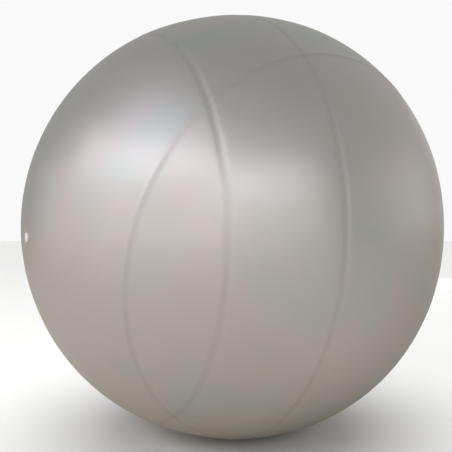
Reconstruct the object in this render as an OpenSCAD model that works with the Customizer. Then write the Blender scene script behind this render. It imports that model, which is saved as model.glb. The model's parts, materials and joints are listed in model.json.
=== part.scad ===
// Inflated exercise ball standing on the floor.
// One moulded skin with three parallel grooves, a bonded valve collar in a dimple, and a pull-out stopper.
// Origin: centre of the flat that the ball makes on the floor. +Z is up and the valve faces -X.

/* [Ball] */
// Outer diameter of the inflated ball
ball_d = 650; // [450:10:850]
// Thickness of the inflated skin
wall_t = 0.9; // [0.6:0.1:1.6]
// Radius of the flat that the ball's weight makes on the floor
floor_flat_r = 38; // [20:1:60]

/* [Grooves] */
// Width of a moulded groove at the surface
groove_w = 9; // [5:0.5:14]
// Depth of a moulded groove
groove_depth = 0.8; // [0.4:0.1:1.5]
// Angle of the valve-side groove from the ball's middle plane
valve_side_angle = 31.5; // [22:0.5:40]
// Angle of the middle groove from the ball's middle plane, toward the valve
middle_angle = 8; // [0:0.5:14]
// Angle of the far-side groove from the ball's middle plane
far_side_angle = 30.5; // [22:0.5:40]

/* [Valve dimple] */
// How far the valve sits below the level of the grooves' common axis
valve_drop = 2.5; // [0:0.5:10]
// Radius of the dimple's mouth
dimple_r = 17; // [15:0.5:24]
// Depth of the dimple below the ball's round
dimple_depth = 2.4; // [1.5:0.1:4]

/* [Valve collar] */
// Radius of the valve bore
bore_r = 4.3; // [3.5:0.1:5.5]
// Rubber around the bore in the collar's barrel
barrel_wall = 3.6; // [2:0.1:4.5]
// Length of the barrel inside the ball, below the collar's flange
barrel_l = 14; // [12:0.5:24]
// Rubber around the bore in the collar's neck, where it passes through the skin
neck_wall = 4.8; // [4.6:0.1:6]
// How far the seat under the stopper's head stands up from the dimple
seat_h = 1; // [0.6:0.1:1.4]
// Thickness of the collar's flange, bonded to the inside of the skin
flange_t = 2; // [1:0.1:3]
// How far the flange stops short of the dimple's mouth
flange_inset = 1.5; // [0.5:0.1:2.5]

/* [Stopper] */
// How far the stopper's head overhangs the bore
head_lip = 2.4; // [1.5:0.1:3]
// Thickness of the stopper's head
head_t = 2; // [1.6:0.1:2.6]
// Chamfer around the head
head_chamfer = 0.5; // [0.2:0.1:0.8]
// Depth of the dish in the top of the head
head_dish = 0.5; // [0.2:0.1:0.8]
// Flat rim left around the dish
head_rim = 1; // [0.6:0.1:2]
// Length of the stem below the head
stem_l = 15; // [13:0.5:18]
// Length of the tapered tip at the stem's end
tip_l = 3; // [2:0.5:4]
// Radial clearance of the sealing ribs in the bore
rib_clearance = 0.05; // [0.02:0.01:0.1]
// Height of a sealing rib above the stem
rib_rise = 0.7; // [0.3:0.1:1]
// Length of one sealing rib
rib_l = 1.8; // [1:0.1:2.2]
// Number of sealing ribs
rib_count = 4; // [1:1:4]
// Radius of the hollow that opens at the stem's tip
hollow_r = 1.7; // [1:0.1:2]

/* [Hidden] */

ball_fn = 240;
round_fn = 96;
skin_colour = [0.69, 0.67, 0.65];
collar_colour = [0.60, 0.59, 0.57];
plug_colour = [0.93, 0.92, 0.90];

// The ball's round is cut level by the floor, which lowers its centre a little.
ball_r = ball_d / 2;
centre_z = sqrt(pow(ball_r, 2) - pow(floor_flat_r, 2));

// A groove has a round bottom; its centre runs outside the ball at this distance from the ball's centre.
groove_round_r = (pow(groove_w / 2, 2) + pow(groove_depth, 2)) / (2 * groove_depth);
groove_reach = ball_r + groove_round_r - groove_depth;

// The dimple is part of a large sphere that meets the ball at the dimple's mouth.
mouth_fall = ball_r - sqrt(pow(ball_r, 2) - pow(dimple_r, 2));
dimple_sag = dimple_depth - mouth_fall;
dimple_round_r = (pow(dimple_r, 2) + pow(dimple_sag, 2)) / (2 * dimple_sag);
dimple_centre = dimple_round_r - dimple_depth;

// Heights along the valve, counted outward from the ball's round.
seat_z = seat_h - dimple_depth;
flange_z = -dimple_depth - wall_t - flange_t;
barrel_end_z = flange_z - barrel_l;
bore_l = seat_z - barrel_end_z;

neck_r = bore_r + neck_wall;
barrel_r = bore_r + barrel_wall;
flange_r = dimple_r - flange_inset;
head_r = bore_r + head_lip;
rib_r = bore_r - rib_clearance;
stem_r = rib_r - rib_rise;
tip_r = stem_r - rib_rise;
head_dish_r = head_r - head_chamfer - head_rim;
head_dish_round_r = (pow(head_dish_r, 2) + pow(head_dish, 2)) / (2 * head_dish);
rib_pitch = (stem_l - tip_l) / rib_count;
past = 1; // how far a cutting shape runs past the face it cuts

// Puts a shape drawn along +Z on the grooves' common axis, +Z toward the valve.
module along_ball() {
    translate([0, 0, centre_z])
        rotate([0, -90, 0])
            children();
}

// Puts a shape at the valve: z = 0 on the ball's round, +Z straight out of the ball.
module at_valve() {
    translate([0, 0, centre_z])
        rotate([0, -90 - valve_drop, 0])
            translate([0, 0, ball_r])
                children();
}

// One groove's round bottom in the half plane x > 0, at an angle from the middle plane.
module groove_round(angle, inset) {
    rotate(angle)
        translate([groove_reach, 0])
            circle(r = groove_round_r + inset, $fn = round_fn);
}

// The ball's round and its three grooves, turned in one piece about their common axis.
module turned_ball(inset) {
    rotate_extrude($fn = ball_fn)
        difference() {
            intersection() {
                circle(r = ball_r - inset, $fn = ball_fn);
                translate([0, -ball_r])
                    square([ball_r, ball_d]);
            }
            groove_round(valve_side_angle, inset);
            groove_round(middle_angle, inset);
            groove_round(-far_side_angle, inset);
        }
}

// The large sphere whose lower side is the dimple.
module dimple_sphere(inset) {
    translate([0, 0, dimple_centre])
        sphere(r = dimple_round_r + inset, $fn = ball_fn);
}

// The ball's whole form, moved inward by an inset: 0 for the outside, the skin's thickness for the inside.
module ball_form(inset) {
    difference() {
        along_ball()
            turned_ball(inset);
        translate([0, 0, inset - ball_r])
            cylinder(h = ball_r, r = ball_r, $fn = round_fn);
        at_valve()
            dimple_sphere(inset);
    }
}

module ball_wall() {
    color(skin_colour)
        difference() {
            ball_form(0);
            ball_form(wall_t);
            at_valve()
                translate([0, 0, flange_z])
                    cylinder(h = -flange_z, r = neck_r, $fn = round_fn);
        }
}

// The flange hugs the inside of the dimple, and the neck fills the hole in the skin.
module valve_collar() {
    color(collar_colour)
        at_valve()
            difference() {
                union() {
                    intersection() {
                        difference() {
                            dimple_sphere(wall_t + flange_t);
                            dimple_sphere(wall_t);
                        }
                        translate([0, 0, flange_z - past])
                            cylinder(h = past - flange_z, r = flange_r, $fn = round_fn);
                    }
                    translate([0, 0, flange_z])
                        cylinder(h = seat_z - flange_z, r = neck_r, $fn = round_fn);
                    translate([0, 0, barrel_end_z])
                        cylinder(h = barrel_l + past, r = barrel_r, $fn = round_fn);
                }
                translate([0, 0, barrel_end_z - past])
                    cylinder(h = bore_l + 2 * past, r = bore_r, $fn = round_fn);
            }
}

// A sealing rib: it widens slowly from the tip's side, and ends in a square shoulder.
module sealing_rib() {
    cylinder(h = rib_l, r1 = stem_r, r2 = rib_r, $fn = round_fn);
}

module plug_head() {
    difference() {
        union() {
            cylinder(h = head_t - head_chamfer, r = head_r, $fn = round_fn);
            translate([0, 0, head_t - head_chamfer])
                cylinder(h = head_chamfer, r1 = head_r, r2 = head_r - head_chamfer, $fn = round_fn);
        }
        translate([0, 0, head_t - head_dish + head_dish_round_r])
            sphere(r = head_dish_round_r, $fn = round_fn);
    }
}

module plug_stem() {
    difference() {
        union() {
            translate([0, 0, tip_l - stem_l])
                cylinder(h = stem_l - tip_l, r = stem_r, $fn = round_fn);
            translate([0, 0, -stem_l])
                cylinder(h = tip_l, r1 = tip_r, r2 = stem_r, $fn = round_fn);
            for (i = [0 : rib_count - 1])
                translate([0, 0, tip_l - stem_l + i * rib_pitch])
                    sealing_rib();
        }
        translate([0, 0, -stem_l - past])
            cylinder(h = stem_l, r = hollow_r, $fn = round_fn);
    }
}

module valve_plug() {
    color(plug_colour)
        at_valve()
            translate([0, 0, seat_z]) {
                plug_head();
                plug_stem();
            }
}

ball_wall();
valve_collar();
valve_plug();
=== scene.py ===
"""Inflated exercise ball: a moulded skin, a bonded valve collar and a pull-out stopper.

All sizes are in metres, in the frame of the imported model: the origin is the centre of the flat that the
ball makes on the floor, +Z is up, and the valve faces -X.
"""

import json
import logging
import math
from dataclasses import dataclass, fields
from enum import Enum
from typing import Callable, Sequence, Union

import bmesh
import bpy
import numpy as np
from mathutils import Matrix, Vector


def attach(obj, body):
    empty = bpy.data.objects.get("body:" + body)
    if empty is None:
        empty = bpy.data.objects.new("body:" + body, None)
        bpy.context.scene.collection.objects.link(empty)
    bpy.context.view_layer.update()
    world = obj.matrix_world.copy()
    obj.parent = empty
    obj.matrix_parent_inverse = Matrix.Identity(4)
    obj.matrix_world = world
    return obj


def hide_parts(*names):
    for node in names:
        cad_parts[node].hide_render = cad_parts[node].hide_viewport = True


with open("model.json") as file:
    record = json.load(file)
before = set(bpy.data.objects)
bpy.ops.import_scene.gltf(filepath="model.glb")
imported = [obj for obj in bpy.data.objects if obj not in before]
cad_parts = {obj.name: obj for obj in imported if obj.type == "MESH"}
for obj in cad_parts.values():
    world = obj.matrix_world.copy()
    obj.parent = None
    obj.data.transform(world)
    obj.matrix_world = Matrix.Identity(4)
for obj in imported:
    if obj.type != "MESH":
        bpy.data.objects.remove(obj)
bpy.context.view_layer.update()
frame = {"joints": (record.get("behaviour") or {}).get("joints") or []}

log = logging.getLogger("exercise_ball")

MM = 0.001
TURN = 2.0 * math.pi
Colour = tuple[float, float, float]


def in_scene(name: str, data: bpy.types.ID) -> bpy.types.Object:
    """Make an object that shows some data, put it in the scene, and return it."""
    made = bpy.data.objects.new(name, data)
    bpy.context.scene.collection.objects.link(made)
    return made


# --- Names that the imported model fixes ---


class Body(Enum):
    """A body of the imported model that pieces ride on."""

    BALL = "ball"
    STOPPER = "stopper"


class Slot(Enum):
    """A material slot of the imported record."""

    SKIN = "skin"
    COLLAR = "collar"
    STOPPER = "stopper"


class CadNode(Enum):
    """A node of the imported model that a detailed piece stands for."""

    WALL = "ball_wall"
    COLLAR = "valve_collar"
    PLUG = "valve_plug"


# --- Node networks ---


@dataclass(frozen=True)
class Flow:
    """A value that flows out of a node; plain arithmetic on it adds Math nodes."""

    graph: "Graph"
    socket: bpy.types.NodeSocket

    def __add__(self, other: "Value") -> "Flow":
        """Add a value."""
        return self.graph.math("ADD", self, other)

    def __sub__(self, other: "Value") -> "Flow":
        """Take a value away."""
        return self.graph.math("SUBTRACT", self, other)

    def __rsub__(self, other: "Value") -> "Flow":
        """Take this from a value."""
        return self.graph.math("SUBTRACT", other, self)

    def __mul__(self, other: "Value") -> "Flow":
        """Multiply by a value."""
        return self.graph.math("MULTIPLY", self, other)

    def __truediv__(self, other: "Value") -> "Flow":
        """Divide by a value."""
        return self.graph.math("DIVIDE", self, other)


Value = Union[Flow, float]


class Graph:
    """A node tree under construction, for geometry, a material or the world."""

    MIX_FACTOR = 0
    MIX_COLOURS = (6, 7)
    MIX_RESULT = 2

    def __init__(self, tree: bpy.types.NodeTree) -> None:
        """Wrap the tree that new nodes go into."""
        self.tree = tree

    def node(self, kind: str, inputs: dict | None = None, **settings: object) -> bpy.types.Node:
        """Add a node.

        Args:
            kind: The node's type name.
            inputs: Values or flows by input name or index.
            **settings: Properties of the node, set before its inputs.

        Returns:
            The new node.
        """
        made = self.tree.nodes.new(kind)
        for name, value in settings.items():
            setattr(made, name, value)
        for key, value in (inputs or {}).items():
            self.feed(made.inputs[key], value)
        return made

    def feed(self, socket: bpy.types.NodeSocket, value: object) -> None:
        """Give an input its value, or link it to a flow.

        Args:
            socket: The input.
            value: A flow, or a plain value of the socket's own kind.
        """
        if isinstance(value, Flow):
            self.tree.links.new(value.socket, socket)
        else:
            socket.default_value = value

    def out(self, node: bpy.types.Node, output: int | str = 0) -> Flow:
        """Return one output of a node as a flow."""
        return Flow(self, node.outputs[output])

    def math(self, operation: str, *values: Value) -> Flow:
        """Add a Math node, its values in order, and return the result."""
        return self.out(self.node("ShaderNodeMath", dict(enumerate(values)), operation=operation))

    def vector(self, operation: str, *values: object) -> Flow:
        """Add a Vector Math node.

        Args:
            operation: The node's operation.
            *values: Its vectors, in order; for SCALE, a vector and a factor.

        Returns:
            The result, a number for DOT_PRODUCT and LENGTH.
        """
        made = self.node("ShaderNodeVectorMath", operation=operation)
        places = [0, "Scale"] if operation == "SCALE" else range(len(values))
        for place, value in zip(places, values):
            self.feed(made.inputs[place], value)
        return self.out(made, "Value" if operation in ("DOT_PRODUCT", "LENGTH") else "Vector")

    def mix(self, factor: Value, one: object, other: object) -> Flow:
        """Mix two colours.

        Args:
            factor: How much of the second colour shows, from 0 to 1.
            one: The first colour, as a flow or three numbers.
            other: The second colour.

        Returns:
            The mixed colour.
        """
        made = self.node("ShaderNodeMix", {self.MIX_FACTOR: factor}, data_type="RGBA")
        for place, colour in zip(self.MIX_COLOURS, (one, other)):
            self.feed(made.inputs[place], colour if isinstance(colour, Flow) else (*colour, 1.0))
        return self.out(made, self.MIX_RESULT)

    def ramp(self, value: Value, start: Value, end: Value, low: Value = 0.0, high: Value = 1.0) -> Flow:
        """Return a smooth step from low to high, while a value goes from start to end."""
        inputs = {"Value": value, "From Min": start, "From Max": end, "To Min": low, "To Max": high}
        return self.out(self.node("ShaderNodeMapRange", inputs, interpolation_type="SMOOTHSTEP"))

    def noise(self, place: Flow, scale: Value, seed: Value, detail: float = 2.0, rough: float = 0.5) -> Flow:
        """Return seeded noise, about 0.5 on average: scale is per metre, detail counts its finer octaves."""
        inputs = {"Vector": place, "W": seed, "Scale": scale, "Detail": detail, "Roughness": rough}
        return self.out(self.node("ShaderNodeTexNoise", inputs, noise_dimensions="4D"))


class Socket(Enum):
    """The kinds of input that the geometry trees take."""

    NUMBER = "NodeSocketFloat"
    COUNT = "NodeSocketInt"
    DIRECTION = "NodeSocketVector"
    MATERIAL = "NodeSocketMaterial"
    OBJECT = "NodeSocketObject"


class FormTree(Graph):
    """A Geometry Nodes tree with named inputs, which ends in Realize Instances and Set Material."""

    def __init__(self, name: str) -> None:
        """Start an empty tree.

        Args:
            name: The tree's name.
        """
        super().__init__(bpy.data.node_groups.new(name, "GeometryNodeTree"))
        for way in ("INPUT", "OUTPUT"):
            self.tree.interface.new_socket("Geometry", in_out=way, socket_type="NodeSocketGeometry")
        self.entry = self.node("NodeGroupInput")
        self.identifiers: dict[str, str] = {}

    @property
    def geometry(self) -> Flow:
        """Return the geometry that comes in."""
        return self.out(self.entry, "Geometry")

    def size(self, name: str, kind: Socket = Socket.NUMBER) -> Flow:
        """Add a named input, and return it as a flow."""
        socket = self.tree.interface.new_socket(name, in_out="INPUT", socket_type=kind.value)
        self.identifiers[name] = socket.identifier
        return self.out(self.entry, name)

    def sizes_from(self, *owners: object) -> dict[str, object]:
        """Collect the values of the inputs that are named after fields.

        Args:
            *owners: Dataclasses; a field foot_tint feeds the input Foot Tint.

        Returns:
            The values by input name.
        """
        sizes: dict[str, object] = {}
        for owner in owners:
            for part in fields(owner):
                name = part.name.replace("_", " ").title()
                if name in self.identifiers:
                    sizes[name] = getattr(owner, part.name)
        return sizes

    def end(self, shape: Flow, finish: Flow) -> None:
        """Close the tree.

        Args:
            shape: The finished geometry.
            finish: The material that all of it takes.
        """
        real = self.out(self.node("GeometryNodeRealizeInstances", {"Geometry": shape}))
        dressed = self.out(self.node("GeometryNodeSetMaterial", {"Geometry": real, "Material": finish}))
        self.node("NodeGroupOutput", {"Geometry": dressed})

    def shaped(self, mesh: bpy.types.Mesh, name: str, sizes: dict[str, object]) -> bpy.types.Mesh:
        """Run the tree on a mesh.

        Args:
            mesh: The mesh that goes in; it is used up.
            name: The new mesh's name.
            sizes: A value for every named input.

        Returns:
            The plain mesh that comes out.
        """
        missing = set(self.identifiers) ^ set(sizes)
        if missing:
            raise ValueError(f"{self.tree.name}: inputs and sizes differ in {sorted(missing)}")
        blank = in_scene(name + "_blank", mesh)
        modifier = blank.modifiers.new("Form", "NODES")
        modifier.node_group = self.tree
        for key, value in sizes.items():
            modifier[self.identifiers[key]] = value
        graph = bpy.context.evaluated_depsgraph_get()
        result = bpy.data.meshes.new_from_object(blank.evaluated_get(graph))
        result.name = name
        finish = next(material for material in result.materials if material)
        result.materials.clear()
        result.materials.append(finish)
        result.polygons.foreach_set("material_index", [0] * len(result.polygons))
        bpy.data.objects.remove(blank)
        bpy.data.meshes.remove(mesh)
        return result


# --- Finishes ---


class Paint(Graph):
    """A material's node tree, around its one Principled shader."""

    def __init__(self, name: str) -> None:
        """Start a material.

        Args:
            name: The material's name.
        """
        self.material = bpy.data.materials.new(name)
        self.material.use_nodes = True
        super().__init__(self.material.node_tree)
        self.shader = self.tree.nodes["Principled BSDF"]
        self.place = self.out(self.node("ShaderNodeTexCoord"), "Object")

    def set(self, **values: object) -> None:
        """Set inputs of the shader, by name with underscores for spaces."""
        for name, value in values.items():
            self.feed(self.shader.inputs[name.replace("_", " ")], value)

    def bump(self, height: Flow, depth: float, strength: float = 1.0, under: Flow | None = None) -> Flow:
        """Add relief.

        Args:
            height: The relief's height, from 0 to 1.
            depth: The height of 1, in metres.
            strength: How strongly it turns the surface.
            under: A coarser relief that this one goes on.

        Returns:
            The turned normal.
        """
        inputs = {"Height": height, "Distance": depth, "Strength": strength}
        if under is not None:
            inputs["Normal"] = under
        return self.out(self.node("ShaderNodeBump", inputs), "Normal")


@dataclass(frozen=True)
class PearlVinyl:
    """Satin pearl-grey vinyl of the ball's skin."""

    name: str = "pearl_vinyl"
    base: Colour = (0.520, 0.505, 0.498)
    rosy: Colour = (0.548, 0.508, 0.510)
    cool: Colour = (0.492, 0.512, 0.508)
    # Painted shade: the darker colour mixed into the grooves and along one side of each bead.
    groove_shade: Colour = (0.405, 0.395, 0.385)
    speck: Colour = (0.20, 0.19, 0.18)
    scuff: Colour = (0.62, 0.61, 0.60)
    metallic: float = 0.65
    roughness: float = 0.40
    coat: float = 0.15
    coat_roughness: float = 0.30
    groove_mix: float = 0.44
    groove_roughness: float = 0.06
    scuff_mix: float = 0.35
    scuff_roughness: float = 0.12
    speck_mix: float = 0.75
    seed: float = 3.7

    def material(self) -> bpy.types.Material:
        """Build the material: clouds of pearl tint, soft waves, grain, scuffs, specks, and painted shade in
        the grooves and along one side of each bead.

        Returns:
            The material.
        """
        paint = Paint(self.name)
        place, seed = paint.place, self.seed
        colour = self._tint(paint)

        stretch = {"Scale": (60.0, 420.0, 90.0), "Rotation": (0.5, 0.3, 0.9)}
        stretched = paint.node("ShaderNodeMapping", {"Vector": place, **stretch})
        streaks = paint.noise(paint.out(stretched), 1.0, seed + 2.0, 3.0, 0.6)
        patches = paint.ramp(paint.noise(place, 9.0, seed + 3.0), 0.56, 0.70)
        scuffs = paint.ramp(streaks, 0.66, 0.74) * patches
        colour = paint.mix(scuffs * self.scuff_mix, colour, self.scuff)

        cells = paint.node("ShaderNodeTexVoronoi", {"Vector": place, "Scale": 34.0})
        sparse = paint.ramp(paint.noise(place, 6.0, seed + 4.0), 0.60, 0.64)
        specks = paint.ramp(paint.out(cells, "Distance"), 0.022, 0.040, 1.0, 0.0) * sparse
        colour = paint.mix(specks * self.speck_mix, colour, self.speck)

        # Painted shade in the grooves and along one side of each bead.
        groove = paint.out(paint.node("ShaderNodeAttribute", attribute_name="groove"), "Fac")
        colour = paint.mix(groove * self.groove_mix, colour, self.groove_shade)

        uneven = paint.noise(place, 26.0, seed + 5.0, 4.0, 0.6)
        rough = uneven * 0.10 + (self.roughness - 0.05)
        rough = rough + scuffs * self.scuff_roughness + groove * self.groove_roughness
        paint.set(Base_Color=colour, Roughness=rough, Metallic=self.metallic, Coat_Weight=self.coat)
        paint.set(Coat_Roughness=self.coat_roughness, IOR=1.45)

        waves = paint.bump(paint.noise(place, 24.0, seed + 6.0, 2.0), 0.6 * MM, 0.30)
        peel = paint.bump(paint.noise(place, 150.0, seed + 7.0, 2.0), 0.10 * MM, 0.30, waves)
        grain = paint.bump(paint.noise(place, 900.0, seed + 8.0, 2.0), 0.02 * MM, 0.40, peel)
        paint.set(Normal=paint.bump(scuffs, 0.03 * MM, 0.6, grain))
        return paint.material

    def _tint(self, paint: Paint) -> Flow:
        """Return the pearl's colour, which drifts between a rosy and a cool grey."""
        drift = paint.noise(paint.place, 5.5, self.seed, 3.0, 0.55)
        colour = paint.mix(paint.ramp(drift, 0.42, 0.66), self.base, self.rosy)
        other = paint.noise(paint.place, 7.5, self.seed + 1.0, 3.0, 0.55)
        return paint.mix(paint.ramp(other, 0.46, 0.68), colour, self.cool)


@dataclass(frozen=True)
class CollarVinyl:
    """Thicker, slightly darker moulded vinyl of the valve collar."""

    name: str = "collar_vinyl"
    light: Colour = (0.44, 0.43, 0.41)
    dark: Colour = (0.37, 0.36, 0.345)
    roughness: float = 0.48
    seed: float = 11.3

    def material(self) -> bpy.types.Material:
        """Build the material: cloudy colour, uneven gloss and a fine moulded grain.

        Returns:
            The material.
        """
        paint = Paint(self.name)
        clouds = paint.noise(paint.place, 140.0, self.seed, 3.0)
        rough = paint.noise(paint.place, 320.0, self.seed + 1.0, 2.0) * 0.14 + (self.roughness - 0.07)
        paint.set(Base_Color=paint.mix(paint.ramp(clouds, 0.38, 0.62), self.light, self.dark))
        paint.set(Roughness=rough, Metallic=0.12, Coat_Weight=0.15, Coat_Roughness=0.35)
        swell = paint.bump(paint.noise(paint.place, 260.0, self.seed + 2.0), 0.12 * MM, 0.35)
        paint.set(Normal=paint.bump(paint.noise(paint.place, 1600.0, self.seed + 3.0), 0.02 * MM, 0.5, swell))
        return paint.material


@dataclass(frozen=True)
class StopperPlastic:
    """White moulded polyethylene of the stopper."""

    name: str = "stopper_plastic"
    fresh: Colour = (0.86, 0.855, 0.84)
    handled: Colour = (0.80, 0.785, 0.75)
    roughness: float = 0.42
    seed: float = 23.9

    def material(self) -> bpy.types.Material:
        """Build the material: a waxy white with a trace of handling, flow marks and fine scratches.

        Returns:
            The material.
        """
        paint = Paint(self.name)
        handling = paint.ramp(paint.noise(paint.place, 210.0, self.seed, 3.0, 0.6), 0.44, 0.70)
        stretched = paint.node("ShaderNodeMapping", {"Vector": paint.place, "Scale": (500.0, 2600.0, 900.0)})
        scratches = paint.ramp(paint.noise(paint.out(stretched), 1.0, self.seed + 1.0, 3.0), 0.62, 0.72)
        paint.set(Base_Color=paint.mix(handling, self.fresh, self.handled))
        paint.set(Roughness=handling * 0.12 + scratches * 0.10 + (self.roughness - 0.04))
        paint.set(Subsurface_Weight=0.12, Subsurface_Scale=1.5 * MM)
        flow = paint.bump(paint.noise(paint.place, 420.0, self.seed + 2.0), 0.05 * MM, 0.4)
        paint.set(Normal=paint.bump(scratches, 0.01 * MM, 0.5, flow))
        return paint.material


@dataclass(frozen=True)
class PaleFloor:
    """Plain pale studio floor, which can carry a painted shadow under the ball."""

    name: str = "pale_floor"
    light: Colour = (0.86, 0.86, 0.86)
    dark: Colour = (0.83, 0.83, 0.83)
    # Painted shadow: the darker colour right under the ball, and how far out it reaches.
    middle: Colour = (0.83, 0.83, 0.83)
    middle_r: float = 0.42

    def material(self) -> bpy.types.Material:
        """Build the floor's faintly clouded matt paint, with a painted shadow right under the ball in the
        middle colour.

        Returns:
            The material.
        """
        paint = Paint(self.name)
        clouds = paint.noise(paint.place, 1.2, 1.0, 2.0)
        # Painted shadow: near the ball the colour turns to the middle colour.
        away = paint.ramp(paint.vector("LENGTH", paint.place), 0.1, self.middle_r)
        colour = paint.mix(away, self.middle, paint.mix(clouds, self.light, self.dark))
        paint.set(Base_Color=colour, Roughness=0.9, Specular_IOR_Level=0.1)
        return paint.material


# --- Shapes ---


def direction(x: float, y: float, z: float) -> Vector:
    """Return a fixed direction of length 1."""
    return Vector((x, y, z)).normalized().freeze()


@dataclass(frozen=True)
class BallPlan:
    """The sizes and places that the sub-assemblies share."""

    valve_axis: Vector
    radius: float = 325 * MM
    floor_flat_r: float = 38 * MM
    wall: float = 0.9 * MM
    dimple_r: float = 17 * MM
    dimple_depth: float = 2.4 * MM
    bore_r: float = 4.3 * MM
    neck_r: float = 9.1 * MM
    seat_height: float = 1 * MM

    @property
    def centre(self) -> Vector:
        """Return the centre of the ball's round."""
        return Vector((0.0, 0.0, math.sqrt(self.radius**2 - self.floor_flat_r**2)))

    @property
    def seat_z(self) -> float:
        """Return the seat's height along the valve, from the ball's round."""
        return self.seat_height - self.dimple_depth

    @property
    def at_valve(self) -> Matrix:
        """Return the move that puts a shape drawn along +Z at the valve, with z = 0 on the ball's round."""
        turn = self.valve_axis.to_track_quat("Z", "Y").to_matrix().to_4x4()
        return Matrix.Translation(self.centre + self.valve_axis * self.radius) @ turn

    def dimple_height(self, r: float) -> float:
        """Return the dimple's height along the valve at a distance from the valve's axis."""
        mouth_fall = self.dimple_r**2 / (2 * self.radius)
        return -self.dimple_depth + (self.dimple_depth - mouth_fall) * (r / self.dimple_r) ** 2


@dataclass(frozen=True)
class Corner:
    """A corner of a turned outline: its radius, its height, and the fillet that rounds it."""

    r: float
    z: float
    fillet: float = 0.0


@dataclass(frozen=True)
class TurnedOutline:
    """An outline that is turned about Z: a loop, or an open line whose two ends are on the axis."""

    corners: Sequence[Corner]
    loop: bool = False
    segments: int = 96
    fillet_steps: int = 4
    longest_reach: float = 0.48
    axis_r: float = 1e-7

    def points(self) -> list[tuple[float, float]]:
        """Return the outline's radii and heights, with every fillet drawn as an arc."""
        line: list[tuple[float, float]] = []
        count = len(self.corners)
        for i, corner in enumerate(self.corners):
            at_end = not self.loop and i in (0, count - 1)
            if corner.fillet == 0.0 or at_end:
                line.append((corner.r, corner.z))
            else:
                line.extend(self._arc(self.corners[i - 1], corner, self.corners[(i + 1) % count]))
        return line

    def _arc(self, before: Corner, corner: Corner, after: Corner) -> list[tuple[float, float]]:
        """Return the arc that rounds one corner, no longer than its two sides allow.

        Args:
            before: The corner before it.
            corner: The corner that is rounded.
            after: The corner after it.

        Returns:
            The arc's points, in order.
        """
        tip = np.array([corner.r, corner.z])
        sides = [np.array([c.r, c.z]) - tip for c in (before, after)]
        lengths = [float(np.linalg.norm(side)) for side in sides]
        u, v = (side / length for side, length in zip(sides, lengths))
        half = 0.5 * math.acos(float(np.clip(u @ v, -1.0, 1.0)))
        reach = min(corner.fillet / math.tan(half), self.longest_reach * min(lengths))
        fillet = reach * math.tan(half)
        middle = tip + (u + v) / np.linalg.norm(u + v) * (fillet / math.sin(half))
        start, end = tip + u * reach - middle, tip + v * reach - middle
        sweep = math.pi - 2.0 * half
        arc = []
        for step in np.linspace(0.0, 1.0, self.fillet_steps + 1):
            a, b = math.sin((1.0 - step) * sweep), math.sin(step * sweep)
            r, z = middle + (start * a + end * b) / math.sin(sweep)
            arc.append((float(r), float(z)))
        return arc

    def mesh(self, name: str) -> bpy.types.Mesh:
        """Turn the outline into a closed mesh.

        Args:
            name: The mesh's name.

        Returns:
            The mesh, with its faces outward.
        """
        form = bmesh.new()
        rings = []
        for r, z in self.points():
            if r < self.axis_r:
                rings.append([form.verts.new((0.0, 0.0, z))] * self.segments)
                continue
            angles = [TURN * k / self.segments for k in range(self.segments)]
            rings.append([form.verts.new((r * math.cos(a), r * math.sin(a), z)) for a in angles])
        pairs = list(zip(rings, rings[1:])) + ([(rings[-1], rings[0])] if self.loop else [])
        for low, high in pairs:
            for k in range(self.segments):
                n = (k + 1) % self.segments
                ring = dict.fromkeys((low[k], low[n], high[n], high[k]))
                form.faces.new(list(ring))
        bmesh.ops.recalc_face_normals(form, faces=form.faces)
        mesh = bpy.data.meshes.new(name)
        form.to_mesh(mesh)
        form.free()
        return mesh


def smooth(mesh: bpy.types.Mesh, angle: float = math.radians(32.0)) -> None:
    """Shade a mesh smooth, apart from edges that are sharper than an angle."""
    mesh.shade_smooth()
    mesh.set_sharp_from_angle(angle=angle)


def place_piece(name: str, mesh: bpy.types.Mesh, body: Body, node: CadNode) -> bpy.types.Object:
    """Put a finished mesh in the scene in place of its CAD node.

    Args:
        name: The piece's name.
        mesh: Its mesh, already in the frame's own place.
        body: The body that it rides on.
        node: The CAD node that it stands for.

    Returns:
        The piece.
    """
    mesh.name = name
    piece = in_scene(name, mesh)
    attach(piece, body.value)
    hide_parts(node.value)
    return piece


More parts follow.
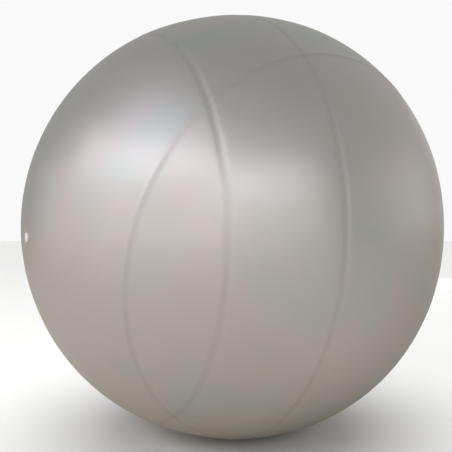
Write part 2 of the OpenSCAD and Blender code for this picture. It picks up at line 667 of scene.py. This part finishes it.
@dataclass(frozen=True)
class TriangleNet:
    """A closed net of triangles on a sphere of radius 1."""

    points: np.ndarray
    faces: np.ndarray

    @classmethod
    def even(cls, subdivisions: int) -> "TriangleNet":
        """Make an even net.

        Args:
            subdivisions: The steps of an icosphere.

        Returns:
            The net.
        """
        form = bmesh.new()
        bmesh.ops.create_icosphere(form, subdivisions=subdivisions, radius=1.0)
        points = np.array([v.co for v in form.verts], float)
        faces = np.array([[v.index for v in f.verts] for f in form.faces])
        form.free()
        return cls(points / np.linalg.norm(points, axis=1, keepdims=True), faces)

    def refined(self, wanted: Callable[[np.ndarray], np.ndarray]) -> "TriangleNet":
        """Halve the edges that are wanted, and the ones that this tears, so that the net stays closed.

        Args:
            wanted: Says for each edge's middle whether the edge is halved.

        Returns:
            The finer net.
        """
        corners = self.faces
        ends = np.stack([corners, np.roll(corners, -1, axis=1)], axis=2).reshape(-1, 2)
        pairs, edge_of = np.unique(np.sort(ends, axis=1), axis=0, return_inverse=True)
        edge_of = edge_of.reshape(-1, 3)
        middles = self.points[pairs].mean(axis=1)
        middles /= np.linalg.norm(middles, axis=1, keepdims=True)
        cut = wanted(middles)
        torn = cut[edge_of].sum(axis=1) == 2
        while torn.any():
            cut[edge_of[torn]] = True
            torn = cut[edge_of].sum(axis=1) == 2
        label = np.full(len(pairs), -1)
        label[cut] = len(self.points) + np.arange(cut.sum())
        middle_of, cuts = label[edge_of], cut[edge_of].sum(axis=1)

        (a, b, c), (ab, bc, ca) = corners[cuts == 3].T, middle_of[cuts == 3].T
        quarters = [(a, ab, ca), (ab, b, bc), (ca, bc, c), (ab, bc, ca)]
        rows = np.arange((cuts == 1).sum())
        side = np.argmax(middle_of[cuts == 1] >= 0, axis=1)
        a, b, c = (corners[cuts == 1][rows, (side + step) % 3] for step in range(3))
        ab = middle_of[cuts == 1][rows, side]
        halves = [(a, ab, c), (ab, b, c)]
        faces = [corners[cuts == 0]] + [np.stack(face, axis=1) for face in quarters + halves]
        return TriangleNet(np.vstack([self.points, middles[cut]]), np.vstack(faces))


# --- The skin ---


@dataclass(frozen=True)
class Ring:
    """A line around the ball: the axis that it circles, and its angle from the middle plane."""

    name: str
    axis: Vector
    degrees: float

    def gap(self, points: np.ndarray) -> np.ndarray:
        """Return the angle between each point on the unit sphere and the ring, in radians."""
        latitude = np.arcsin(np.clip(points @ np.array(self.axis), -1.0, 1.0))
        return np.abs(latitude - math.radians(self.degrees))


@dataclass(frozen=True)
class Swell:
    """A broad band where the blown skin stands out from the round, or draws in."""

    ring: Ring
    half_width: float
    rise: float


class SkinTree(FormTree):
    """Geometry Nodes that mould a plain net into the ball's skin and its lining."""

    DRILL_SIDES = 96
    SHARP_EDGE = math.radians(40.0)
    RIPPLE_SEED_STEP = 5.0

    def __init__(
        self, grooves: Sequence[Ring], beads: Sequence[Ring], feet: Sequence[Ring], swells: Sequence[Swell]
    ) -> None:
        """Build the tree.

        Args:
            grooves: The moulded grooves.
            beads: The low raised lines, on the outside only.
            feet: The lines of painted shade along one side of each bead.
            swells: The broad bands.
        """
        super().__init__("Moulded skin")
        self.radius = self.size("Radius")
        self.centre = self.size("Centre", Socket.DIRECTION)
        self.lining = self._attribute("lining")
        place = self.out(self.node("GeometryNodeInputPosition"))
        self.outward = self.vector("NORMALIZE", self.vector("SUBTRACT", place, self.centre))
        fine, broad = self.size("Groove Half Width"), self.size("Lining Half Width")
        groove = self._lines(grooves, fine + self.lining * (broad - fine))
        bead = self._lines(beads, self.size("Bead Half Width")) * (1.0 - self.lining)
        relief = bead * self.size("Bead Rise") - groove * self.size("Groove Depth")
        height = self._swells(swells) + self._waves() + relief - self._dimple()
        wall = self.lining * self.size("Wall")
        reach = self.radius + height - wall
        formed = self.vector("ADD", self.centre, self.vector("SCALE", self.outward, reach))
        parts = self.node("ShaderNodeSeparateXYZ", {0: formed})
        level = self.math("SMOOTH_MAX", self.out(parts, 2), wall, self.size("Floor Softness"))
        put = self.node("ShaderNodeCombineXYZ", {0: self.out(parts, 0), 1: self.out(parts, 1), 2: level})
        moved = self.node("GeometryNodeSetPosition", {"Geometry": self.geometry, "Position": self.out(put)})
        holed = self._hole(self.out(moved))
        # Painted shade along one side of each bead, which the material darkens.
        bead_shade = self._lines(feet, self.size("Foot Half Width")) * (1.0 - self.lining)
        # Painted shade in the grooves and along the beads, stored as "groove" for the material.
        line = groove * self.size("Groove Tint") + bead_shade * self.size("Foot Tint")
        inputs = {"Geometry": holed, "Name": "groove", "Value": line}
        marked = self.node("GeometryNodeStoreNamedAttribute", inputs)
        self.end(self._shade(self.out(marked)), self.size("Finish", Socket.MATERIAL))

    def _attribute(self, name: str) -> Flow:
        """Read a number that is stored on the mesh."""
        return self.out(self.node("GeometryNodeInputNamedAttribute", {"Name": name}, data_type="FLOAT"))

    def _band(self, axis: Flow, angle: Flow, half_width: Value) -> Flow:
        """Return a soft band around the ball, 1 on its line and 0 past its edges.

        Args:
            axis: The axis that the band circles.
            angle: Its angle from the middle plane, in radians.
            half_width: Half its width along the surface.

        Returns:
            The band's strength.
        """
        latitude = self.math("ARCSINE", self.vector("DOT_PRODUCT", self.outward, axis))
        gap = self.math("ABSOLUTE", latitude - angle) * self.radius
        share = self.math("MINIMUM", gap / half_width, 1.0)
        return self.math("COSINE", share * math.pi) * 0.5 + 0.5

    def _lines(self, rings: Sequence[Ring], half_width: Flow) -> Flow:
        """Return the strength of some lines together, which never adds up where two cross.

        Args:
            rings: The lines.
            half_width: Half their width along the surface.

        Returns:
            1 along a line's middle, and 0 past its edges.
        """
        left: Value = 1.0
        for ring in rings:
            axis = self.size(f"{ring.name} Axis", Socket.DIRECTION)
            left = (1.0 - self._band(axis, self.size(f"{ring.name} Angle"), half_width)) * left
        return 1.0 - left

    def _swells(self, swells: Sequence[Swell]) -> Flow:
        """Return the height of the broad bands together.

        Args:
            swells: The bands.

        Returns:
            The height above the round.
        """
        total: Flow | None = None
        for swell in swells:
            name = swell.ring.name
            axis = self.size(f"{name} Axis", Socket.DIRECTION)
            band = self._band(axis, self.size(f"{name} Angle"), self.size(f"{name} Half Width"))
            part = band * self.size(f"{name} Rise")
            total = part if total is None else total + part
        return total

    def _waves(self) -> Flow:
        """Return the height of the slack waves in the blown skin."""
        seed = self.size("Seed")
        broad = self.noise(self.outward, self.size("Wave Scale"), seed, 1.0) - 0.5
        small = self.noise(self.outward, self.size("Ripple Scale"), seed + self.RIPPLE_SEED_STEP, 1.0) - 0.5
        return broad * self.size("Wave Height") + small * self.size("Ripple Height")

    def _dimple(self) -> Flow:
        """Return the depth of the valve's dimple, which meets the round in a soft lip."""
        self.valve_axis = self.size("Valve Axis", Socket.DIRECTION)
        cosine = self.math("MINIMUM", self.vector("DOT_PRODUCT", self.outward, self.valve_axis), 1.0)
        share = self.math("ARCCOSINE", cosine) * self.radius / self.size("Dimple Radius")
        bowl = (1.0 - share * share) * self.size("Dimple Depth")
        return self.math("SMOOTH_MAX", bowl, 0.0, self.size("Dimple Softness"))

    def _hole(self, skin: Flow) -> Flow:
        """Cut the hole for the valve's neck through the skin and its lining.

        Args:
            skin: The moulded skin.

        Returns:
            The skin with its hole.
        """
        inputs = {"Radius": self.size("Hole Radius"), "Depth": self.size("Hole Depth")}
        drill = self.out(self.node("GeometryNodeMeshCylinder", {"Vertices": self.DRILL_SIDES, **inputs}))
        turn = self.out(self.node("FunctionNodeAlignRotationToVector", {"Vector": self.valve_axis}, axis="Z"))
        reach = self.vector("ADD", self.centre, self.vector("SCALE", self.valve_axis, self.radius))
        inputs = {"Geometry": drill, "Translation": reach, "Rotation": turn}
        placed = self.out(self.node("GeometryNodeTransform", inputs))
        settings = {"operation": "DIFFERENCE", "solver": "MANIFOLD"}
        return self.out(self.node("GeometryNodeMeshBoolean", {"Mesh 1": skin, "Mesh 2": placed}, **settings))

    def _shade(self, skin: Flow) -> Flow:
        """Shade the skin smooth, apart from the hole's edges."""
        smoothed = self.out(self.node("GeometryNodeSetShadeSmooth", {"Geometry": skin, "Shade Smooth": True}))
        angle = self.out(self.node("GeometryNodeInputMeshEdgeAngle"))
        sharp = self.out(self.node("FunctionNodeCompare", {"A": angle, "B": self.SHARP_EDGE}))
        inputs = {"Geometry": smoothed, "Selection": sharp, "Shade Smooth": False}
        return self.out(self.node("GeometryNodeSetShadeSmooth", inputs, domain="EDGE"))


@dataclass(frozen=True)
class BallSkin:
    """The ball's one moulded skin: three grooves, two low beads that cross them, and the valve's dimple."""

    plan: BallPlan
    valve_side_degrees: float = 31.6
    middle_degrees: float = 8.4
    far_side_degrees: float = -30.5
    crossing_degrees: float = 31.5
    level_axis: Vector = direction(-1.0, 0.0, 0.0)
    valve_side_axis: Vector = direction(-1.0, 0.005, -0.0165)
    middle_axis: Vector = direction(-1.0, -0.010, 0.004)
    crossing_axis: Vector = direction(0.101, -0.960, -0.261)
    groove_half_width: float = 7.5 * MM
    lining_half_width: float = 26 * MM
    floor_softness: float = 1.5 * MM
    dimple_softness: float = 1.2 * MM
    hole_depth: float = 20 * MM
    wave_scale: float = 3.2
    wave_height: float = 1.1 * MM
    ripple_scale: float = 11.0
    ripple_height: float = 0.22 * MM
    seed: float = 4.0
    net_steps: int = 6
    groove_depth: float = 0.54 * MM
    bead_half_width: float = 6 * MM
    bead_rise: float = 0.45 * MM
    # Painted shade along one side of each bead: the band's half width, its shift toward the bead's pole, and
    # how dark it is painted.
    foot_half_width: float = 6.5 * MM
    foot_degrees: float = 0.6
    foot_tint: float = 0.85
    # Painted shade in the grooves: how dark they are painted.
    groove_tint: float = 0.7
    bands: Sequence[float] = (19 * MM, 11 * MM, 6.7 * MM)
    valve_bands: Sequence[float] = (34 * MM, 28 * MM, 24 * MM)
    finish: PearlVinyl = PearlVinyl()

    @property
    def grooves(self) -> list[Ring]:
        """Return the three grooves, which circle nearly one axis."""
        return [
            Ring("Valve Side Groove", self.valve_side_axis, self.valve_side_degrees),
            Ring("Middle Groove", self.middle_axis, self.middle_degrees),
            Ring("Far Side Groove", self.level_axis, self.far_side_degrees),
        ]

    @property
    def beads(self) -> list[Ring]:
        """Return the two low raised lines that cross the grooves."""
        return [
            Ring("Front Bead", self.crossing_axis, self.crossing_degrees),
            Ring("Back Bead", self.crossing_axis, -self.crossing_degrees),
        ]

    @property
    def feet(self) -> list[Ring]:
        """Return the lines of painted shade along the side of each bead that faces its own pole."""
        return [
            Ring("Front Foot", self.crossing_axis, self.crossing_degrees + self.foot_degrees),
            Ring("Back Foot", self.crossing_axis, -self.crossing_degrees - self.foot_degrees),
        ]

    @property
    def swells(self) -> list[Swell]:
        """Return the broad bands where the blown skin leaves the round."""
        return [
            Swell(Ring("Far Panel", self.level_axis, -17.0), 140 * MM, 1.7 * MM),
            Swell(Ring("Far Cap", self.level_axis, -46.0), 105 * MM, -4.2 * MM),
            Swell(Ring("Valve Panel", self.level_axis, 20.0), 80 * MM, -1.1 * MM),
        ]

    def net(self) -> bpy.types.Mesh:
        """Make the plain net that is moulded: a fine outside, and a coarser lining that faces inward.

        Returns:
            The mesh, on a unit sphere around the ball's centre, with the lining marked.
        """
        valve = np.array(self.plan.valve_axis)
        lines = self.grooves + self.beads

        def near(groove: float, dimple: float) -> Callable[[np.ndarray], np.ndarray]:
            """Return a test for points within one distance of a line, or another of the valve."""

            def test(points: np.ndarray) -> np.ndarray:
                """Say which points are near."""
                gaps = np.min([ring.gap(points) for ring in lines], axis=0) * self.plan.radius
                valve_gap = np.arccos(np.clip(points @ valve, -1.0, 1.0)) * self.plan.radius
                return (gaps < groove) | (valve_gap < dimple)

            return test

        outside = lining = TriangleNet.even(self.net_steps)
        for groove, dimple in zip(self.bands, self.valve_bands):
            outside = outside.refined(near(groove, dimple))
            lining = lining.refined(near(0.0, dimple))
        mesh = bpy.data.meshes.new("skin_net")
        points = np.vstack([outside.points, lining.points]) + np.array(self.plan.centre)
        faces = np.vstack([outside.faces, lining.faces[:, ::-1] + len(outside.points)])
        mesh.from_pydata(points, [], faces)
        mark = mesh.attributes.new("lining", "FLOAT", "POINT")
        flags = np.repeat([0.0, 1.0], [len(outside.points), len(lining.points)])
        mark.data.foreach_set("value", flags.astype(np.float32))
        return mesh

    def build(self) -> bpy.types.Object:
        """Mould the skin, and put it in place of its CAD node.

        Returns:
            The piece.
        """
        plan = self.plan
        tree = SkinTree(self.grooves, self.beads, self.feet, self.swells)
        sizes = tree.sizes_from(plan, self)
        sizes |= {"Centre": plan.centre, "Dimple Radius": plan.dimple_r, "Hole Radius": plan.neck_r}
        sizes["Finish"] = self.finish.material()
        for ring in self.grooves + self.beads + self.feet + [swell.ring for swell in self.swells]:
            sizes[f"{ring.name} Axis"] = ring.axis
            sizes[f"{ring.name} Angle"] = math.radians(ring.degrees)
        for swell in self.swells:
            sizes[f"{swell.ring.name} Half Width"] = swell.half_width
            sizes[f"{swell.ring.name} Rise"] = swell.rise
        mesh = tree.shaped(self.net(), "ball_skin", sizes)
        return place_piece("ball_skin", mesh, Body.BALL, CadNode.WALL)


# --- The valve ---


@dataclass(frozen=True)
class ValveCollar:
    """The collar that is bonded in the skin: a seat, a neck, a flange inside the skin, and a barrel."""

    plan: BallPlan
    barrel_r: float = 7.9 * MM
    flange_r: float = 15.5 * MM
    flange_t: float = 2 * MM
    barrel_end: float = -19.3 * MM
    finish: CollarVinyl = CollarVinyl()

    def outline(self) -> TurnedOutline:
        """Return the collar's outline, with its flange along the inside of the dimple."""
        plan = self.plan

        def under(r: float) -> float:
            """Return the height of the skin's inside at a radius."""
            return plan.dimple_height(r) - plan.wall

        radii = np.linspace(plan.neck_r, self.flange_r, 6)
        top = [Corner(r, under(r)) for r in radii[:-1]]
        top.append(Corner(self.flange_r, under(self.flange_r), 0.5 * MM))
        radii = np.linspace(self.flange_r, self.barrel_r, 7)
        bottom = [Corner(r, under(r) - self.flange_t) for r in radii[1:-1]]
        corners = [
            Corner(plan.bore_r, plan.seat_z, 0.4 * MM),
            Corner(plan.neck_r, plan.seat_z, 0.45 * MM),
            *top,
            Corner(self.flange_r, under(self.flange_r) - self.flange_t, 0.7 * MM),
            *bottom,
            Corner(self.barrel_r, under(self.barrel_r) - self.flange_t, 0.9 * MM),
            Corner(self.barrel_r, self.barrel_end, 0.8 * MM),
            Corner(plan.bore_r, self.barrel_end, 0.5 * MM),
        ]
        return TurnedOutline(corners, loop=True)

    def build(self) -> bpy.types.Object:
        """Turn the collar, and put it in place of its CAD node.

        Returns:
            The piece.
        """
        mesh = self.outline().mesh("collar")
        mesh.transform(self.plan.at_valve)
        mesh.materials.append(self.finish.material())
        smooth(mesh)
        return place_piece("collar_moulding", mesh, Body.BALL, CadNode.COLLAR)


class RibTree(FormTree):
    """Geometry Nodes that repeat one sealing rib along a stem, and weld the ribs to it."""

    def __init__(self) -> None:
        """Build the tree: the geometry that comes in is the one rib."""
        super().__init__("Sealing ribs")
        step = self.node("ShaderNodeCombineXYZ", {2: self.size("Rib Pitch")})
        start = self.node("ShaderNodeCombineXYZ", {2: self.size("First Rib")})
        inputs = {"Count": self.size("Rib Count", Socket.COUNT), "Offset": self.out(step)}
        row = self.node("GeometryNodeMeshLine", {**inputs, "Start Location": self.out(start)})
        inputs = {"Points": self.out(row), "Instance": self.geometry}
        ribs = self.node("GeometryNodeInstanceOnPoints", inputs)
        ribs = self.node("GeometryNodeRealizeInstances", {"Geometry": self.out(ribs)})
        stem = self.node("GeometryNodeObjectInfo", {"Object": self.size("Stem", Socket.OBJECT)})
        weld = self.node("GeometryNodeMeshBoolean", operation="UNION", solver="MANIFOLD")
        for part in (self.out(ribs), self.out(stem, "Geometry")):
            self.tree.links.new(part.socket, weld.inputs["Mesh 2"])
        self.end(self.out(weld), self.size("Finish", Socket.MATERIAL))


@dataclass(frozen=True)
class Stopper:
    """The white stopper: a dished head on the seat, and a hollow stem with sealing ribs and a tapered tip."""

    plan: BallPlan
    head_r: float = 6.7 * MM
    head_t: float = 2 * MM
    head_chamfer: float = 0.5 * MM
    head_dish: float = 0.5 * MM
    head_rim: float = 1 * MM
    gate_r: float = 0.7 * MM
    gate_rise: float = 0.12 * MM
    stem_r: float = 3.55 * MM
    stem_l: float = 15 * MM
    tip_r: float = 2.85 * MM
    tip_l: float = 3 * MM
    hollow_r: float = 1.7 * MM
    hollow_roof: float = 1 * MM
    rib_r: float = 4.25 * MM
    rib_l: float = 1.8 * MM
    rib_count: int = 4
    rib_root: float = 0.6 * MM
    finish: StopperPlastic = StopperPlastic()

    @property
    def rib_pitch(self) -> float:
        """Return the distance from one rib to the next."""
        return (self.stem_l - self.tip_l) / self.rib_count

    def stem_outline(self) -> TurnedOutline:
        """Return the outline of the head and the hollow stem, from the dish to the roof of the hollow."""
        seat = self.plan.seat_z
        top = seat + self.head_t
        dish_r = self.head_r - self.head_chamfer - self.head_rim

        def dish(r: float) -> float:
            """Return the dish's height at a radius."""
            return top - self.head_dish * (1.0 - (r / dish_r) ** 2)

        gate = dish(self.gate_r) + self.gate_rise
        radii = np.linspace(self.gate_r + 0.1 * MM, dish_r, 7)
        corners = [
            Corner(0.0, gate),
            Corner(self.gate_r, gate, 0.1 * MM),
            *[Corner(r, dish(r)) for r in radii[:-1]],
            Corner(dish_r, top, 0.25 * MM),
            Corner(self.head_r - self.head_chamfer, top, 0.35 * MM),
            Corner(self.head_r, top - self.head_chamfer, 0.35 * MM),
            Corner(self.head_r, seat, 0.25 * MM),
            Corner(self.stem_r, seat, 0.25 * MM),
            Corner(self.stem_r, seat - self.stem_l + self.tip_l, 0.5 * MM),
            Corner(self.tip_r, seat - self.stem_l, 0.35 * MM),
            Corner(self.hollow_r, seat - self.stem_l, 0.25 * MM),
            Corner(self.hollow_r, seat - self.hollow_roof, 0.8 * MM),
            Corner(0.0, seat - self.hollow_roof),
        ]
        return TurnedOutline(corners)

    def rib_outline(self) -> TurnedOutline:
        """Return one rib's outline: a slow rise from the tip's side, and a square shoulder."""
        root = self.stem_r - self.rib_root
        corners = [
            Corner(root, 0.0),
            Corner(self.stem_r, 0.0),
            Corner(self.rib_r, self.rib_l, 0.16 * MM),
            Corner(root, self.rib_l),
        ]
        return TurnedOutline(corners, loop=True)

    def build(self) -> bpy.types.Object:
        """Turn the stopper, weld its ribs on, and put it in place of its CAD node.

        Returns:
            The piece.
        """
        stem = in_scene("stem_blank", self.stem_outline().mesh("stem"))
        sizes: dict[str, object] = {
            "Rib Pitch": self.rib_pitch,
            "First Rib": self.plan.seat_z - self.stem_l + self.tip_l,
            "Rib Count": self.rib_count,
            "Stem": stem,
            "Finish": self.finish.material(),
        }
        mesh = RibTree().shaped(self.rib_outline().mesh("rib"), "stopper", sizes)
        bpy.data.objects.remove(stem)
        mesh.transform(self.plan.at_valve)
        smooth(mesh)
        return place_piece("stopper_moulding", mesh, Body.STOPPER, CadNode.PLUG)


# --- The studio ---


def seen_from(centre: Vector, azimuth: float, elevation: float, distance: float) -> Vector:
    """Return a place around a centre.

    Args:
        centre: The centre.
        azimuth: Degrees around it, 0 toward -Y and 90 toward +X.
        elevation: Degrees above its level.
        distance: How far away.

    Returns:
        The place.
    """
    a, e = math.radians(azimuth), math.radians(elevation)
    way = Vector((math.sin(a) * math.cos(e), -math.cos(a) * math.cos(e), math.sin(e)))
    return centre + way * distance


@dataclass(frozen=True)
class Softbox:
    """A soft rectangular light that faces the ball."""

    name: str
    azimuth: float
    elevation: float
    distance: float
    width: float
    height: float
    power: float
    colour: Colour = (1.0, 1.0, 1.0)

    def build(self, centre: Vector) -> bpy.types.Object:
        """Hang the light.

        Args:
            centre: The point that it faces.

        Returns:
            The light.
        """
        lamp = bpy.data.lights.new(self.name, "AREA")
        lamp.shape = "RECTANGLE"
        lamp.size, lamp.size_y = self.width, self.height
        lamp.energy, lamp.color = self.power, self.colour
        light = in_scene(self.name, lamp)
        light.location = seen_from(centre, self.azimuth, self.elevation, self.distance)
        light.rotation_euler = (light.location - centre).to_track_quat("Z", "Y").to_euler()
        return light


@dataclass(frozen=True)
class Studio:
    """A pale floor, soft lights and a camera level with the ball's middle."""

    plan: BallPlan
    azimuth: float = -31.0
    camera_reach: float = 3.0
    lens: float = 47.87
    sensor_width: float = 36.0
    shift: tuple[float, float] = (-0.01626, 0.00212)
    floor_r: float = 14.0
    floor_sides: int = 128
    bounce_drop: float = 0.5 * MM
    surround: Colour = (0.250, 0.268, 0.240)
    surround_bright: Colour = (0.560, 0.545, 0.520)
    bright_azimuth: float = 115.0
    backdrop: Colour = (0.95, 0.95, 0.95)
    softboxes: Sequence[Softbox] = (
        Softbox("key_left_softbox", -97.0, 27.0, 2.4, 1.5, 0.7, 6.5, (0.965, 0.94, 1.0)),
        Softbox("key_high_softbox", -80.0, 46.0, 2.4, 1.5, 0.9, 3.7, (0.78, 0.83, 1.0)),
        Softbox("key_middle_softbox", -60.0, 29.0, 2.4, 1.7, 0.6, 8.6, (0.955, 0.95, 1.0)),
        Softbox("front_softbox", -18.0, 20.0, 2.4, 1.8, 0.5, 7.3, (0.94, 0.98, 1.0)),
        Softbox("front_high_softbox", -12.0, 42.0, 2.4, 2.2, 0.8, 0.7, (1.0, 0.70, 0.70)),
        Softbox("low_side_softbox", -122.0, 8.0, 3.0, 1.8, 1.4, 5.4, (1.0, 0.88, 0.88)),
        Softbox("low_left_softbox", -86.0, 6.0, 3.0, 2.0, 1.2, 7.6, (1.0, 0.90, 0.88)),
        Softbox("low_middle_softbox", -48.0, 3.0, 3.0, 2.0, 1.0, 7.8, (1.0, 0.95, 0.90)),
        Softbox("low_front_softbox", -8.0, 2.0, 3.0, 2.0, 0.8, 4.8, (1.0, 0.88, 0.86)),
        Softbox("right_softbox", 60.0, 10.0, 3.0, 2.4, 1.4, 3.9, (1.0, 0.90, 0.87)),
        Softbox("right_rim_softbox", 128.0, 8.0, 3.0, 2.4, 1.6, 5.2, (1.0, 0.96, 0.92)),
    )
    wash_strength: float = 2.2
    wash_degrees: float = 70.0
    warm_wash: Colour = (1.0, 0.86, 0.70)
    warm_wash_strength: float = 0.8
    warm_wash_degrees: float = 25.0
    warm_wash_from: tuple[float, float] = (-100.0, 25.0)
    # The bounce floor's middle colour is a painted shadow under the ball.
    bounce: PaleFloor = PaleFloor("bounce_paint", (0.86, 0.82, 0.76), (0.83, 0.79, 0.73), (0.54, 0.52, 0.45))

    def build(self) -> None:
        """Set the floor, the lights, the surround and the camera."""
        self._floor()
        self._surround()
        for box in self.softboxes:
            box.build(self.plan.centre)
        self._camera()

    def _disc(self, name: str, paint: PaleFloor) -> bpy.types.Object:
        """Lay a large round floor.

        Args:
            name: The floor's name.
            paint: Its paint.

        Returns:
            The floor, which isn't part of the object.
        """
        form = bmesh.new()
        bmesh.ops.create_circle(form, cap_ends=True, radius=self.floor_r, segments=self.floor_sides)
        mesh = bpy.data.meshes.new(name)
        form.to_mesh(mesh)
        form.free()
        mesh.materials.append(paint.material())
        floor = in_scene(name, mesh)
        return floor

    def _floor(self) -> None:
        """Lay the floor that is seen, and the one that lights the ball, each with a wash of its own."""
        seen = self._disc("studio_floor", PaleFloor())
        for kind in ("diffuse", "glossy", "transmission", "volume_scatter", "shadow"):
            setattr(seen, f"visible_{kind}", False)
        bounce = self._disc("bounce_floor", self.bounce)
        bounce.data.transform(Matrix.Translation((0.0, 0.0, -self.bounce_drop)))
        bounce.visible_camera = False
        self._wash(seen, Vector((0.0, 0.0, 1.0)), self.wash_strength, self.wash_degrees)
        from_left = seen_from(Vector(), *self.warm_wash_from, 1.0)
        self._wash(bounce, from_left, self.warm_wash_strength, self.warm_wash_degrees, self.warm_wash)

    def _wash(
        self,
        floor: bpy.types.Object,
        way: Vector,
        strength: float,
        degrees: float,
        colour: Colour = (1.0, 1.0, 1.0),
    ) -> None:
        """Hang a broad far light that falls on one floor alone.

        Args:
            floor: The floor.
            way: The direction that the light comes from.
            strength: How strong it is.
            degrees: How broad it looks from the floor.
            colour: Its colour.
        """
        washed = bpy.data.collections.new(floor.name + "_only")
        washed.objects.link(floor)
        lamp = bpy.data.lights.new(floor.name + "_wash", "SUN")
        lamp.energy, lamp.angle, lamp.color = strength, math.radians(degrees), colour
        wash = in_scene(floor.name + "_wash", lamp)
        wash.rotation_euler = way.to_track_quat("Z", "Y").to_euler()
        wash.light_linking.receiver_collection = washed

    def _surround(self) -> None:
        """Light the ball with a dim surround, brighter on one side, and show a pale backdrop behind it."""
        world = bpy.data.worlds.new("studio_surround")
        world.use_nodes = True
        bpy.context.scene.world = world
        graph = Graph(world.node_tree)
        world.node_tree.nodes.clear()
        toward = seen_from(Vector(), self.bright_azimuth, 0.0, 1.0)
        way = graph.out(graph.node("ShaderNodeTexCoord"), "Generated")
        brightness = graph.ramp(graph.vector("DOT_PRODUCT", way, toward), 0.0, 1.0)
        tint = graph.mix(brightness, self.surround, self.surround_bright)
        dim = graph.out(graph.node("ShaderNodeBackground", {"Color": tint}))
        pale = graph.out(graph.node("ShaderNodeBackground", {"Color": (*self.backdrop, 1.0)}))
        seen = graph.out(graph.node("ShaderNodeLightPath"), "Is Camera Ray")
        mixed = graph.out(graph.node("ShaderNodeMixShader", {0: seen, 1: dim, 2: pale}))
        graph.node("ShaderNodeOutputWorld", {"Surface": mixed})

    def _camera(self) -> None:
        """Set the camera, and show colours as they are."""
        lens = bpy.data.cameras.new("studio_camera")
        lens.lens, lens.sensor_width = self.lens, self.sensor_width
        lens.shift_x, lens.shift_y = self.shift
        camera = in_scene("studio_camera", lens)
        camera.location = seen_from(self.plan.centre, self.azimuth, 0.0, self.camera_reach * self.plan.radius)
        camera.rotation_euler = (math.radians(90.0), 0.0, math.radians(self.azimuth))
        bpy.context.scene.camera = camera
        bpy.context.scene.view_settings.view_transform = "Standard"


# --- The whole ball ---


def main() -> None:
    """Build every piece in order, then the studio, and write down how large the ball came out."""
    logging.basicConfig(level=logging.INFO, format="%(message)s")
    joint = next(j for j in frame["joints"] if j["child"] == Body.STOPPER.value)
    plan = BallPlan(valve_axis=Vector(joint["axis"]).normalized())
    for assembly in (BallSkin(plan), ValveCollar(plan), Stopper(plan)):
        piece = assembly.build()
        piece.data.calc_loop_triangles()
        log.info("%s: %d triangles", piece.name, len(piece.data.loop_triangles))
    Studio(plan).build()


if __name__ == "__main__":
    main()
